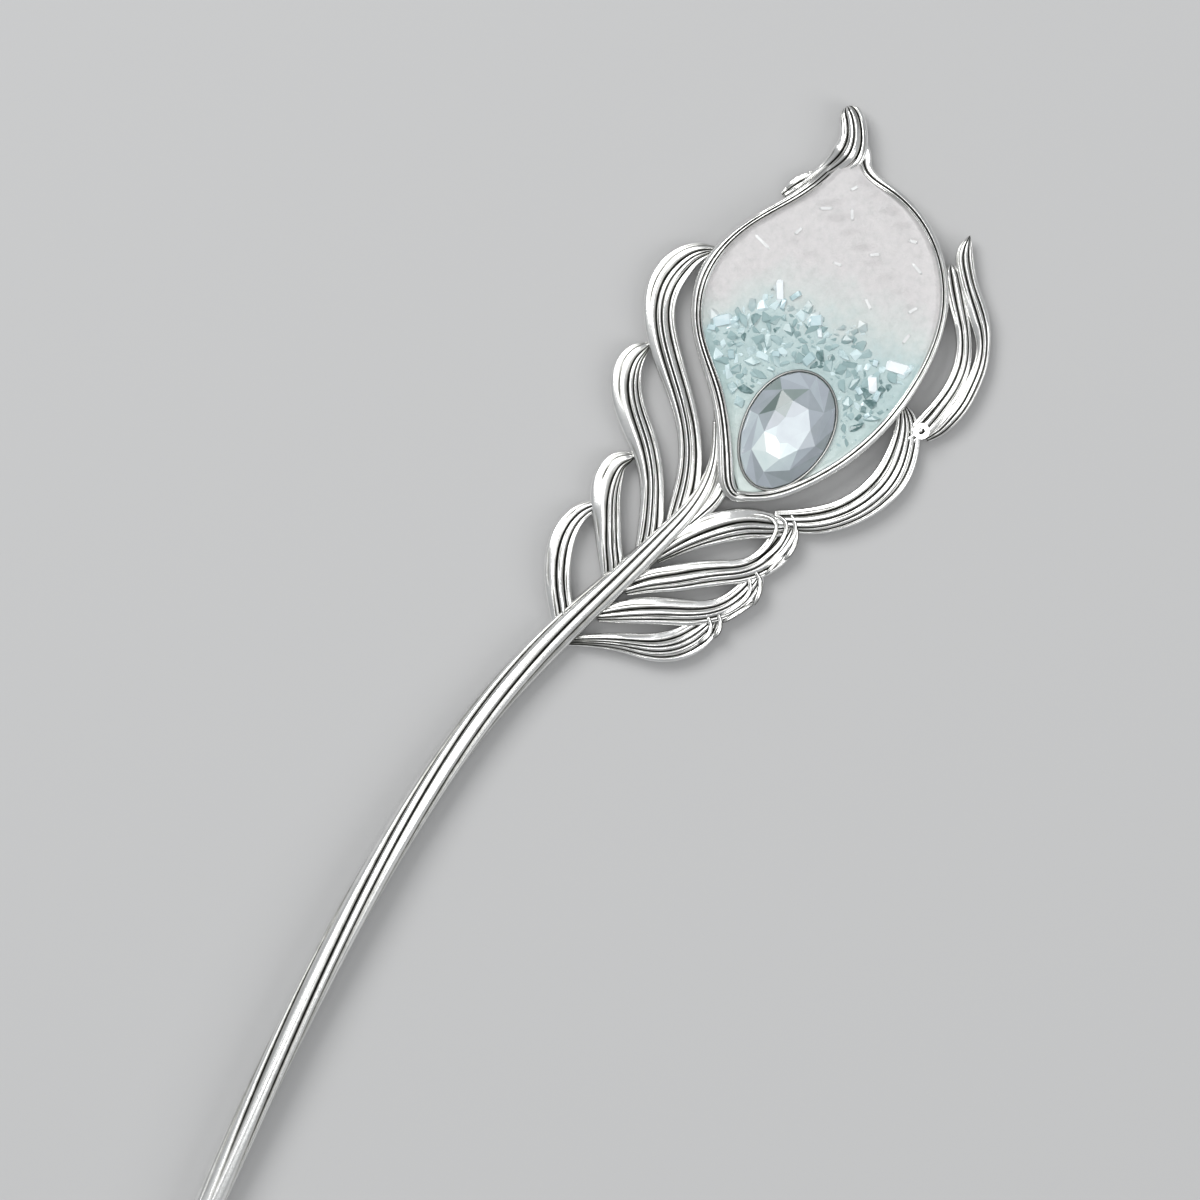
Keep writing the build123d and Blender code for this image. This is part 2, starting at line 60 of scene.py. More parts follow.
TWIST_FROM = -112.0              # the smooth stretch ends and the grooves begin at this y
TWIST_FULL = -92.0
TWIST_DEGREES = 250.0
STEM_GROOVES = (0.0, 0.2, 0.31, 0.46, 0.62, 0.74, 0.9)   # where the stem's uneven strands meet, in turns
STEM_GROOVE_DEPTH = 0.3          # share of the radius

PLUME_BASE = 0.45
PLUMES = {                       # centre line as x, y, width from root to tip
    "plume_left_1": [
        (-7.0, -40.6, 1.6), (-7.9, -38.9, 2.2), (-9.8, -36.3, 2.6), (-11.2, -33.9, 2.7),
        (-11.95, -31.5, 2.6), (-11.9, -29.3, 2.1), (-11.1, -27.6, 1.5), (-9.7, -26.4, 0.6),
    ],
    "plume_left_2": [
        (-5.1, -34.0, 1.8), (-5.9, -32.2, 2.4), (-7.4, -30.1, 2.6), (-8.9, -27.9, 2.8), (-10.2, -25.9, 3.1),
        (-10.9, -23.9, 2.9), (-10.8, -22.3, 2.2), (-9.6, -20.9, 0.9),
    ],
    "plume_left_3": [
        (-3.7, -30.4, 1.8), (-4.2, -27.9, 2.5), (-5.4, -25.0, 2.5), (-7.2, -21.9, 2.5), (-9.8, -19.1, 2.9),
        (-12.4, -16.9, 3.1), (-14.1, -14.6, 3.1), (-14.5, -12.3, 2.4), (-13.7, -10.3, 1.0),
    ],
    "plume_left_4": [
        (-2.4, -26.4, 1.8), (-2.9, -23.6, 2.5), (-4.0, -19.8, 2.5), (-5.9, -16.4, 2.4), (-8.9, -13.1, 2.6),
        (-12.2, -10.0, 3.0), (-14.4, -7.2, 3.2), (-15.3, -4.3, 3.4), (-15.0, -2.0, 3.1),
        (-14.0, -0.1, 2.1), (-12.3, 1.2, 0.9),
    ],
    "plume_right_1": [
        (-6.6, -40.3, 1.0), (-3.3, -38.5, 1.6), (-0.9, -37.5, 2.2), (1.4, -36.6, 2.9),
        (3.4, -35.1, 3.2), (4.7, -33.0, 2.8), (5.3, -31.2, 1.7),
    ],
    "plume_right_2": [
        (-5.2, -36.6, 1.4), (-2.2, -34.5, 2.6), (0.5, -33.0, 2.8), (3.2, -31.7, 2.6),
        (5.3, -30.1, 2.4), (6.6, -27.8, 2.4), (7.1, -25.0, 1.4),
    ],
    "plume_right_3": [
        (-4.1, -33.0, 1.5), (-2.2, -31.1, 2.4), (-0.2, -29.6, 2.8), (1.8, -28.1, 2.8),
        (3.6, -26.9, 2.6), (5.5, -25.6, 2.5), (6.9, -23.7, 2.8), (7.5, -21.3, 2.8),
        (7.6, -19.2, 1.5),
    ],
    "plume_right_4": [
        (-3.0, -28.8, 1.5), (-0.7, -25.1, 2.9), (1.4, -22.9, 3.3), (3.8, -21.2, 3.1),
        (5.9, -20.3, 2.5), (7.6, -19.3, 1.5),
    ],
    "plume_right_5": [
        (5.6, -19.7, 1.8), (8.6, -18.2, 2.7), (11.2, -16.0, 3.0), (13.0, -13.2, 3.3),
        (13.8, -10.0, 3.5), (13.5, -7.2, 3.1), (12.7, -5.1, 2.4), (11.4, -3.5, 1.2),
    ],
    "plume_right_6": [
        (13.4, -6.3, 1.4), (14.1, -4.5, 2.0), (14.6, -2.1, 1.9), (14.85, 0.4, 1.8), (14.45, 3.2, 1.7),
        (13.2, 5.6, 1.6), (11.25, 7.95, 1.8), (9.95, 9.5, 1.8), (8.7, 11.1, 1.4),
    ],
    "plume_right_7": [
        (15.0, -5.3, 0.7), (15.7, -4.1, 1.1), (16.2, -2.4, 1.5), (16.5, -0.4, 1.6), (16.45, 1.6, 1.6),
        (16.2, 3.6, 1.5), (15.4, 5.7, 1.5), (13.6, 8.0, 2.0), (11.7, 9.85, 1.8),
        (10.35, 11.35, 1.8), (9.45, 12.7, 1.7), (9.0, 14.6, 0.4),
    ],
    "rim_bud": [
        (-9.4, 9.1, 0.4), (-8.9, 10.3, 1.1), (-8.3, 11.4, 1.2), (-7.6, 12.6, 0.5),
    ],
    "flame_tip": [
        (-8.9, 8.9, 0.9), (-8.0, 10.3, 1.3), (-7.1, 12.0, 1.8), (-6.2, 13.8, 2.5),
        (-5.6, 15.4, 3.3), (-5.7, 16.9, 3.1), (-6.3, 18.2, 2.7), (-7.1, 19.2, 2.4),
        (-8.0, 19.9, 1.7),
    ],
}
# Grooves across each plume: shares of its width from its left edge, at the root and at the tip.
GROOVES = {
    "plume_left_1": ((0.45, 0.72), (0.5, 0.78)),
    "plume_left_2": ((0.3, 0.55, 0.75), (0.72, 0.84, 0.92)),
    "plume_left_3": ((0.25, 0.45, 0.7), (0.62, 0.78, 0.9)),
    "plume_left_4": ((0.2, 0.4, 0.72), (0.46, 0.62, 0.8)),
    "plume_right_1": ((0.4,), (0.25, 0.45, 0.62, 0.82)),
    "plume_right_2": ((0.45, 0.7), (0.3, 0.5, 0.7)),
    "plume_right_3": ((0.4, 0.7), (0.28, 0.5, 0.74)),
    "plume_right_4": ((0.6, 0.8), (0.4, 0.62, 0.8)),
    "plume_right_5": ((0.3, 0.55, 0.78), (0.2, 0.42, 0.6, 0.8)),
    "plume_right_6": ((0.35, 0.7), (0.45, 0.8)),
    "plume_right_7": ((0.5, 0.8), (0.4, 0.7)),
    "rim_bud": ((0.55,), (0.55,)),
    "flame_tip": ((0.3, 0.52, 0.76), (0.28, 0.5, 0.76)),
}
PLUME_HEIGHTS = {"plume_left_1": 1.95, "plume_right_4": 2.0, "plume_right_6": 1.75, "rim_bud": 2.3,
                 "flame_tip": 3.1}
PLUME_HEIGHT = 1.8

# Loose ends of wire that curl round the tips of the right-hand plumes: x, y, width.
FRINGE = [
    [(2.7, -21.0, 0.4), (4.6, -19.9, 0.45), (6.0, -20.0, 0.45), (6.4, -21.4, 0.45), (5.8, -23.8, 0.5),
     (4.8, -25.2, 0.5)],
    [(5.3, -19.3, 0.4), (6.7, -19.4, 0.45), (7.3, -20.9, 0.5), (6.8, -23.2, 0.5), (5.9, -25.3, 0.5)],
    [(6.8, -18.4, 0.4), (7.8, -19.3, 0.45), (8.1, -21.4, 0.5), (7.6, -23.4, 0.5), (7.0, -24.7, 0.4)],
    [(8.0, -19.3, 0.4), (8.6, -20.8, 0.5), (8.5, -22.8, 0.5)],
    [(8.2, -22.2, 0.35), (7.8, -23.8, 0.4), (7.5, -25.0, 0.35)],
    [(6.3, -25.1, 0.4), (7.4, -25.8, 0.5), (7.9, -27.1, 0.5), (8.0, -28.2, 0.5)],
    [(6.2, -26.0, 0.4), (6.9, -27.0, 0.5), (6.8, -28.4, 0.5), (6.1, -29.9, 0.45), (5.5, -30.8, 0.4)],
    [(7.9, -27.9, 0.35), (7.1, -29.4, 0.45), (6.1, -31.2, 0.4)],
    [(5.3, -30.6, 0.4), (6.1, -31.7, 0.5), (6.1, -33.0, 0.5)],
    [(4.4, -31.3, 0.4), (5.4, -32.4, 0.5), (5.0, -34.2, 0.45)],
]
# Bands that carry the rachis on into the bezel's left wall: x, y, width.
RACHIS_BANDS = [
    [(-3.2, -28.0, 0.9), (-2.0, -24.6, 1.2), (-1.3, -21.6, 1.2), (-1.5, -18.9, 1.1), (-2.9, -15.8, 0.8),
     (-5.0, -12.9, 0.4)],
    [(-2.2, -26.0, 0.7), (-1.0, -22.8, 1.2), (-0.35, -20.4, 1.3), (-0.6, -18.4, 1.1), (-2.0, -15.9, 0.5)],
]
BAND_HEIGHT = 1.9
FRINGE_HEIGHT = 0.5
FRINGE_Z = 1.55

INNER_LEFT = [(1.3, -18.9), (-0.35, -17.2), (-2.0, -14.7), (-5.2, -10.7), (-9.6, -6.6),
              (-11.6, -1.8), (-10.2, 5.1), (-6.9, 10.6), (-5.1, 16.0)]
INNER_RIGHT = [(1.3, -18.9), (3.45, -17.65), (6.25, -14.7), (9.35, -8.9), (10.9, -1.5),
               (9.75, 6.7), (5.35, 12.1), (0.1, 14.1), (-3.1, 14.6), (-5.1, 16.0)]
OUTER_LEFT = [(0.9, -20.1), (-2.9, -16.1), (-6.3, -11.6), (-10.8, -7.0), (-12.9, -1.9),
              (-11.5, 4.6), (-8.3, 10.2), (-5.9, 17.6)]
OUTER_RIGHT = [(0.9, -20.1), (3.8, -18.7), (7.0, -15.4), (10.3, -9.3), (11.8, -1.5), (10.6, 7.0),
               (5.95, 12.85), (0.5, 15.05), (-2.1, 15.5), (-3.6, 16.6), (-4.9, 18.1), (-5.9, 17.6)]
RIM_HEIGHT = 3.2
RIM_TIP_DROP = 1.2               # the wall sinks under the flame tip
RIM_DROP_FROM = 0.86             # where that begins, as a share of the wall's length
RIM_DROP_SHARE = 0.1             # and over how much of it
RIM_FOOT_OUTER = (2.3, -19.6)    # the left wall starts round the foot, under the right one
RIM_FOOT_INNER = (2.4, -18.35)
RIM_LEFT_EDGES = [0.0, 0.46, 0.74, 1.0]
RIM_RIGHT_EDGES = [0.0, 0.42, 1.0]
SCRATCH_DEPTH = 0.07             # of the fine lines along the strands
STRAND_ROUNDNESS = 2.6           # how square a strand's crest is: 2 is round
OUTSIDE_ROUNDNESS = 6.0          # the same for the outer side of a plume
GROOVE_SHARPNESS = 3.0           # how closely the patina keeps to the grooves of wide strands
GROOVE_HALF = 0.085              # half the patina's width in a narrow strand's groove
SCRATCH_HALF = 0.11              # half a scratch's width, in half strands

CHIP_SEED = 7
CHIP_SIZES = ((0.75, 400), (0.5, 900), (0.33, 1500), (0.22, 1800))   # half width, and how many tries
CHIP_Z = 2.6                     # height of the crushed crystals' middles
RESIN_Z = 2.68                   # the resin's surface
RESIN_FLOOR = 0.7                # its underside
RESIN_FROM = -18.85              # its lower end in y
RESIN_TO = 15.6                  # its upper end in y
RESIN_WAVE = 0.015               # height of its gentle waves
RESIN_CREEP = 0.15               # how far it is drawn up at the wall
RESIN_TUCK = 0.15                # how far the resin reaches under the wall's edge
SHARD_Z = 2.45                   # the underside of the bright crystals
SHARD_RISE = 0.65                # the unit of their heights
SHARD_SIDE_LIGHT = 0.12               # painted light: how much lighter their faces are that look right
SHARD_CORNERS = (                # shares of length, width and rise
    (0.5, 0.12, 0.1), (0.42, 0.4, 0.0), (0.3, 0.5, 0.75), (-0.5, 0.2, 0.1), (-0.4, 0.5, 0.0),
    (-0.3, 0.38, 0.8), (0.46, -0.4, 0.05), (0.28, -0.36, 0.9), (-0.44, -0.45, 0.0),
    (-0.34, -0.4, 0.65),
)
SHARDS = [                       # x, y, turn in degrees, length, width, tone from aqua to white, the white partly painted glint
    (-4.9, 0.5, 119, 2.6, 0.8, 0.95), (-4.0, -0.5, 100, 1.4, 0.5, 0.5), (-3.3, 0.8, 60, 1.5, 0.6, 0.35),
    (9.1, -0.6, 9, 2.9, 1.2, 1.0), (7.7, -3.2, 119, 2.2, 1.0, 0.85), (8.6, -4.0, 95, 1.5, 0.6, 0.5),
    (-8.5, -4.9, 39, 2.4, 1.2, 0.65), (-7.5, -4.3, 60, 1.3, 0.6, 0.4), (-9.1, -6.0, 15, 1.1, 0.6, 0.5),
    (-0.3, -0.4, 30, 1.6, 1.2, 0.6), (0.6, -1.3, 120, 1.2, 0.5, 0.75), (0.9, -4.1, 70, 1.7, 1.0, 0.3),
    (6.8, -4.4, 150, 1.1, 0.6, 0.55), (6.9, -1.2, 100, 0.9, 0.6, 0.6), (-6.1, -7.4, 120, 1.2, 0.7, 0.25),
    (-2.2, -5.2, 20, 1.1, 0.6, 0.4), (8.7, -6.2, 60, 0.9, 0.5, 0.45),
]
CHIP_EDGE = [(-12, -4.6), (-8.2, -4.0), (-6.6, -1.5), (-5.6, 0.9), (-3.5, -0.3), (-1.0, 0.8),
             (1.5, -0.6), (3.9, 1.8), (5.5, -0.6), (8.0, -0.9), (10.5, 0.6)]
CHIP_FOOT = [(-9.0, -9.5), (-5.0, -10.2), (-2.5, -11.5), (6.0, -12.5), (8.5, -9.5), (11.0, -7.0)]

STONE_MIDDLE = (2.4, -11.4)      # x, y
STONE_HALF = (4.25, 6.2)         # half the girdle's width and length
STONE_EGG = 0.07                 # how much wider its upper end is
GIRDLE_Z = 3.0                   # height of its widest line
COLLET_OFFSET = 0.12
COLLET_R = 0.15
COLLET_Z = 2.8
# painted shade: how much darker the wire round the stone is made
COLLET_SHADE = 0.25
STONE_RINGS = [                  # share of the girdle, height above it, corners, turn in corners
    (0.24, 1.7, 8, 0.0), (0.5, 1.68, 8, 0.5), (0.76, 1.12, 8, 1.0), (0.995, 0.08, 16, 2.0),
    (0.995, -0.08, 16, 2.0), (0.55, -0.98, 8, 1.5),
]

AQUA_FROM = 0.051                # metres along the part where the resin's blue-green starts and ends
AQUA_TO = 0.0715
AQUA_WOBBLE = 0.007              # how far its edge wanders
AQUA_SLOPE = -0.12               # its slant from left to right
AQUA_LEFT = 0.006                # beyond this distance left of the middle it has a second slant
AQUA_LEFT_SLOPE = -1.2
VEIL_COLOUR = (0.53, 0.53, 0.52)     # resin over the uppermost crystals
PATCHINESS = 0.34                # how much the silver's patina varies from place to place
SHARD_STREAKS = 0.3              # how much streaks change a bright crystal's tone

# ---------------------------------------------------------------- the picture
VIEW_CENTRE = (-5.667, -35.155)
VIEW_TURN = 29.0                 # degrees by which the picture is turned
VIEW_WIDTH = 120.0               # of the picture at the floor, mm
CAMERA_HEIGHT = 0.75             # metres
SENSOR = 36.0
KEY_POWER = 5.4
FILL_POWER = 1.6
TOP_POWER = 2.4
WORLD_STRENGTH = 0.5
WORLD_COLOUR = (0.8, 0.82, 0.84, 1)
FLOOR_HALF = 3.0                 # metres
FLOOR_Z = -0.0002


# ---------------------------------------------------------------- curves
def smooth(share):
    """A ramp from 0 to 1 with soft ends."""
    share = np.clip(share, 0.0, 1.0)
    return share * share * (3 - 2 * share)


def through(points, count):
    """Rows evenly spaced along a smooth curve through the given rows of numbers."""
    rows = np.array(points, float)
    steps = np.linalg.norm(np.diff(rows[:, :2], axis=0), axis=1)
    at = np.concatenate([[0.0], np.cumsum(steps)])
    bends = second_derivatives(at, rows)
    fine = spline_rows(at, rows, bends, np.linspace(0, at[-1], 600))
    run = np.concatenate([[0.0], np.cumsum(np.linalg.norm(np.diff(fine[:, :2], axis=0), axis=1))])
    wanted = np.interp(np.linspace(0, run[-1], count), run, np.linspace(0, at[-1], 600))
    return spline_rows(at, rows, bends, wanted)


def second_derivatives(at, rows):
    """The natural cubic spline's second derivatives at its points."""
    n = len(at)
    gaps = np.diff(at)
    system = np.eye(n)
    right = np.zeros_like(rows)
    for i in range(1, n - 1):
        system[i, i - 1:i + 2] = gaps[i - 1], 2 * (gaps[i - 1] + gaps[i]), gaps[i]
        right[i] = 6 * ((rows[i + 1] - rows[i]) / gaps[i] - (rows[i] - rows[i - 1]) / gaps[i - 1])
    return np.linalg.solve(system, right)


def spline_rows(at, rows, bends, wanted):
    """Rows of the spline at the wanted distances along it."""
    i = np.clip(np.searchsorted(at, wanted) - 1, 0, len(at) - 2)
    gap = (at[i + 1] - at[i])[:, None]
    after = (wanted - at[i])[:, None]
    before = gap - after
    return (bends[i] * before**3 / (6 * gap) + bends[i + 1] * after**3 / (6 * gap)
            + (rows[i] / gap - bends[i] * gap / 6) * before
            + (rows[i + 1] / gap - bends[i + 1] * gap / 6) * after)


def headings(line):
    """Unit vectors along a line of points, in plan."""
    ahead = np.gradient(line[:, :2], axis=0)
    return ahead / np.linalg.norm(ahead, axis=1)[:, None]


# ---------------------------------------------------------------- meshes
def mesh_piece(name, points, faces, groove=None, flat=False):
    """A piece from points in millimetres, with an optional value per point for the silver's darkening:
    patina in the grooves, painted shade on the wire round the stone.
    """
    mesh = bpy.data.meshes.new(name)
    placed = (np.asarray(points, float) + HEAD) * MM
    mesh.from_pydata(placed.tolist(), [], faces)
    if groove is not None:
        layer = mesh.attributes.new("groove", "FLOAT", "POINT")
        layer.data.foreach_set("value", np.asarray(groove, np.float32))
    for polygon in mesh.polygons:
        polygon.use_smooth = not flat
    mesh.validate()
    piece = bpy.data.objects.new(name, mesh)
    bpy.context.scene.collection.objects.link(piece)
    return piece


def tube_faces(rows, columns, start=0):
    """Faces of a closed tube of rows by columns, with a cap at each end."""
    faces = []
    for r in range(rows - 1):
        for c in range(columns):
            d = (c + 1) % columns
            a, b = start + r * columns, start + (r + 1) * columns
            faces.append((a + c, a + d, b + d, b + c))
    faces.append(tuple(start + c for c in reversed(range(columns))))
    faces.append(tuple(start + (rows - 1) * columns + c for c in range(columns)))
    return faces


def strand_top(edges, width, valleys, crests, samples, scratches, clean_sides):
    """Across-shares, heights and groove values of a row of strands with fine scratches on them."""
    across, heights, dirt = [], [], []
    for k in range(len(edges) - 1):
        u = -np.cos(np.linspace(0, pi, samples))
        if k:
            u = u[1:]
        share = (u + 1) / 2
        base = valleys[k] + (valleys[k + 1] - valleys[k]) * share
        bulge = crests[k] - (valleys[k] + valleys[k + 1]) / 2
        from_edge = (1 - np.abs(u)) * (edges[k + 1] - edges[k]) * width / 2
        groove = np.maximum(np.abs(u) ** GROOVE_SHARPNESS, np.exp(-(from_edge / GROOVE_HALF) ** 2))
        outside = (k == 0) & (u < 0) | (k == len(edges) - 2) & (u > 0)
        if clean_sides:
            groove[outside] = 0.0
        line = np.zeros_like(u)
        for place, strength in scratches[k]:
            line = np.maximum(line, strength * np.exp(-((u - place) / SCRATCH_HALF) ** 2))
        fall = np.abs(u) ** np.where(outside, OUTSIDE_ROUNDNESS, STRAND_ROUNDNESS)
        across.append(edges[k] + (edges[k + 1] - edges[k]) * share)
        heights.append(base + bulge * np.sqrt(1 - fall) - SCRATCH_DEPTH * line)
        dirt.append(np.maximum(groove, 0.95 * line))
    return np.concatenate(across), np.concatenate(heights), np.concatenate(dirt)


def strand_scratches(strand, share):
    """Where two fine scratches run across a strand, and how deep each is at a share of the length."""
    first = np.clip(1.4 * sin(9.0 * share + 2.7 * strand) + 0.3, 0, 1)
    second = np.clip(1.2 * sin(13.0 * share + 4.1 * strand + 2.0), 0, 0.75)
    return ((0.3 * sin(2.1 * strand + 4.0 * share), first),
            (-0.45 + 0.2 * sin(3.3 * strand + 6.0 * share), second))


def strip_rows(line, grooves, height, base, tip_rounding=0.06, root_rounding=0.0,
               samples=19, depth=0.5, side=0.55, top_drop=0.3, clean_sides=True):
    """Points and groove values of a ridged strip along a line of x, y, width rows."""
    ahead = headings(line)
    rows = len(line)
    points, dirt = [], []
    for r in range(rows):
        share = r / (rows - 1)
        edges = grooves(share)
        width = max(line[r, 2], 0.05)
        tall = height(share)
        middle = [(a + b) for a, b in zip(edges, edges[1:])]
        crests = [tall * (1 - top_drop * (m - 1) ** 2) for m in middle]
        valleys = [side * tall]
        for k in range(1, len(edges) - 1):
            narrow = min(edges[k] - edges[k - 1], edges[k + 1] - edges[k]) * width
            valleys.append(min(crests[k - 1], crests[k]) - min(depth * narrow, 0.6 * tall))
        valleys.append(side * tall)
        scratches = [strand_scratches(k, share) for k in range(len(crests))]
        across, up, mark = strand_top(edges, width, valleys, crests, samples, scratches, clean_sides)
        close = 1.0
        if tip_rounding and share > 1 - tip_rounding:
            close = np.sqrt(max(1 - ((share - 1 + tip_rounding) / tip_rounding) ** 2, 0.0004))
        if root_rounding and share < root_rounding:
            close = np.sqrt(max(1 - ((root_rounding - share) / root_rounding) ** 2, 0.0004))
        offset = (across - 0.5) * width * close
        x_side, y_side = ahead[r, 1], -ahead[r, 0]
        z0 = base(share)
        middle_z = z0 + 0.4 * tall
        top = np.stack([line[r, 0] + x_side * offset, line[r, 1] + y_side * offset,
                        middle_z + (z0 + up - middle_z) * close], axis=1)
        under_share = np.array([1.0, 0.8, 0.5, 0.2, 0.0])
        under_offset = (under_share - 0.5) * width * close * 0.94
        under = np.stack([line[r, 0] + x_side * under_offset, line[r, 1] + y_side * under_offset,
                          np.full(5, middle_z + (z0 - middle_z) * close)], axis=1)
        points.append(np.concatenate([top, under]))
        dirt.append(np.concatenate([mark, np.zeros(5)]))
    return points, dirt


def strip_piece(name, line, grooves, height, base, **shape):
    """One strip as a piece of its own."""
    points, dirt = strip_rows(line, grooves, height, base, **shape)
    columns = len(points[0])
    faces = tube_faces(len(points), columns)
    return mesh_piece(name, np.concatenate(points), faces, np.concatenate(dirt))


def groove_blend(root, tip):
    """A function that gives the strands' edges at any share of the way from root to tip."""
    count = max(len(root), len(tip))
    start = spread(root, count)
    end = spread(tip, count)

    def edges(share):
        mix = smooth(share)
        return [0.0] + [a + (b - a) * mix for a, b in zip(start, end)] + [1.0]

    return edges


def spread(grooves, count):
    """The same grooves with more of them packed at the right-hand edge, up to a count."""
    missing = count - len(grooves)
    last = grooves[-1]
    return list(grooves) + [last + (1 - last) * (k + 1) / (missing + 1) for k in range(missing)]


# ---------------------------------------------------------------- materials
class Nodes:
    """A short way to build a material's node tree."""

    def __init__(self, name):
        self.material = bpy.data.materials.new(name)
        self.material.use_nodes = True
        self.tree = self.material.node_tree
        self.shader = self.tree.nodes["Principled BSDF"]

    def add(self, kind, inputs=(), **settings):
        node = self.tree.nodes.new(kind)
        for key, value in settings.items():
            setattr(node, key, value)
        for key, value in dict(inputs).items():
            if isinstance(value, bpy.types.NodeSocket):
                self.tree.links.new(value, node.inputs[key])
            else:
                node.inputs[key].default_value = value
        return node

    def set(self, **values):
        for key, value in values.items():
            socket = self.shader.inputs[key.replace("_", " ")]
            if isinstance(value, bpy.types.NodeSocket):
                self.tree.links.new(value, socket)
            else:
                socket.default_value = value

    def ramp(self, factor, stops):
        node = self.add("ShaderNodeValToRGB", {"Fac": factor})
        ramp = node.color_ramp
        while len(ramp.elements) < len(stops):
            ramp.elements.new(0.5)
        for element, (place, colour) in zip(ramp.elements, stops):
            element.position = place
            element.color = (*colour, 1.0)
        return node.outputs["Color"]

    def noise(self, scale, detail=4.0, roughness=0.5, vector=None):
        inputs = {"Scale": scale, "Detail": detail, "Roughness": roughness}
        if vector is not None:
            inputs["Vector"] = vector
        return self.add("ShaderNodeTexNoise", inputs).outputs["Fac"]

    def scaled(self, value, factor):
        return self.add("ShaderNodeMath", {0: value, 1: factor}, operation="MULTIPLY").outputs[0]

    def place(self):
        return self.add("ShaderNodeTexCoord").outputs["Object"]


def make_silver(name, bright):
    """Polished silver with patina where the mesh marks a groove."""
    nodes = Nodes(name)
    place = nodes.place()
    dirt = nodes.add("ShaderNodeAttribute", attribute_name="groove").outputs["Fac"]
    clouds = nodes.noise(900.0, 3.0, 0.55, place)
    patchy = nodes.scaled(clouds, PATCHINESS)
    grime = nodes.add("ShaderNodeMath", {0: dirt, 1: patchy}, operation="ADD").outputs[0]
    dull = 0.7 * bright
    colour = nodes.ramp(grime, [
        (0.16, (bright, bright, 0.985 * bright)), (0.38, (dull, dull, 0.97 * dull)),
        (0.7, (0.3, 0.3, 0.28)), (0.95, (0.03, 0.03, 0.025))])
    rough = nodes.ramp(grime, [(0.1, (0.2, 0.2, 0.2)), (0.9, (0.5, 0.5, 0.5))])
    fine = nodes.noise(2600.0, 4.0, 0.6, place)
    bump = nodes.add("ShaderNodeBump", {"Height": fine, "Strength": 0.12, "Distance": 0.00005})
    nodes.set(Base_Color=colour, Roughness=rough, Metallic=1.0, Normal=bump.outputs["Normal"])
    return nodes.material


def aqua_level(nodes, place):
    """0 deep in the blue-green foot of the resin, 1 in its pinkish white upper part."""
    parts = nodes.add("ShaderNodeSeparateXYZ", {"Vector": place})
    wobble = nodes.noise(330.0, 6.0, 0.65, place)
    shift = nodes.scaled(wobble, AQUA_WOBBLE)
    slope = nodes.scaled(parts.outputs["X"], AQUA_SLOPE)
    sum_one = nodes.add("ShaderNodeMath", {0: parts.outputs["Y"], 1: slope}).outputs[0]
    from_left = nodes.add("ShaderNodeMath", {0: parts.outputs["X"], 1: AQUA_LEFT}).outputs[0]
    beyond = nodes.add("ShaderNodeMath", {0: from_left, 1: 0.0}, operation="MINIMUM").outputs[0]
    drop = nodes.scaled(beyond, AQUA_LEFT_SLOPE)
    sum_two = nodes.add("ShaderNodeMath", {0: sum_one, 1: drop}).outputs[0]
    height = nodes.add("ShaderNodeMath", {0: sum_two, 1: shift}).outputs[0]
    level = nodes.add("ShaderNodeMapRange", {"Value": height, "From Min": AQUA_FROM, "From Max": AQUA_TO})
    return level.outputs["Result"]


def make_resin():
    """Milky resin: pinkish white above, blue-green with darker specks below."""
    nodes = Nodes("milky_resin")
    place = nodes.place()
    colour = nodes.ramp(aqua_level(nodes, place), [
        (0.0, (0.50, 0.58, 0.555)), (0.28, (0.40, 0.52, 0.51)), (0.5, (0.33, 0.455, 0.455)),
        (0.68, (0.37, 0.49, 0.49)), (0.82, (0.49, 0.535, 0.52)), (1.0, (0.53, 0.515, 0.515)),
    ])
    specks = nodes.noise(1400.0, 5.0, 0.7, place)
    veil = nodes.ramp(specks, [(0.3, (0.88, 0.89, 0.885)), (0.5, (0.98, 0.98, 0.98)),
                               (0.72, (1.06, 1.05, 1.05))])
    mixed = nodes.add("ShaderNodeMix", {"Factor": 1.0, 6: colour, 7: veil},
                      data_type="RGBA", blend_type="MULTIPLY").outputs[2]
    mottle = nodes.noise(620.0, 7.0, 0.7, place)
    bump = nodes.add("ShaderNodeBump", {"Height": mottle, "Strength": 0.4, "Distance": 0.0003})
    nodes.set(Base_Color=mixed, Roughness=0.24, Normal=bump.outputs["Normal"])
    nodes.shader.inputs["Coat Weight"].default_value = 0.5
    nodes.shader.inputs["Coat Roughness"].default_value = 0.08
    nodes.shader.inputs["Subsurface Weight"].default_value = 0.15
    nodes.shader.inputs["Subsurface Radius"].default_value = (0.002, 0.002, 0.002)
    return nodes.material


def make_gem():
    """The faceted stone: each facet takes its tone from the mesh, from dark green-grey to white; that tone
    is painted highlight and painted shade.
    """
    nodes = Nodes("faceted_stone")
    tone = nodes.add("ShaderNodeAttribute", attribute_name="tone").outputs["Fac"]
    place = nodes.place()
    cloud = nodes.noise(420.0, 3.0, 0.5, place)
    spread_tone = nodes.add("ShaderNodeMapRange", {"Value": cloud, "To Min": -0.12, "To Max": 0.12})
    total = nodes.add("ShaderNodeMath", {0: tone, 1: spread_tone.outputs["Result"]}).outputs[0]
    # painted light: dark green-grey for painted shade up to white for the painted highlight
    colour = nodes.ramp(total, [
        (0.0, (0.16, 0.21, 0.20)), (0.22, (0.27, 0.33, 0.32)), (0.4, (0.41, 0.45, 0.50)),
        (0.58, (0.50, 0.56, 0.61)), (0.75, (0.68, 0.80, 0.80)), (0.95, (0.97, 0.98, 0.98)),
    ])
    nodes.set(Base_Color=colour, Roughness=0.05)
    nodes.shader.inputs["IOR"].default_value = 1.6
    nodes.shader.inputs["Transmission Weight"].default_value = 0.12
    return nodes.material


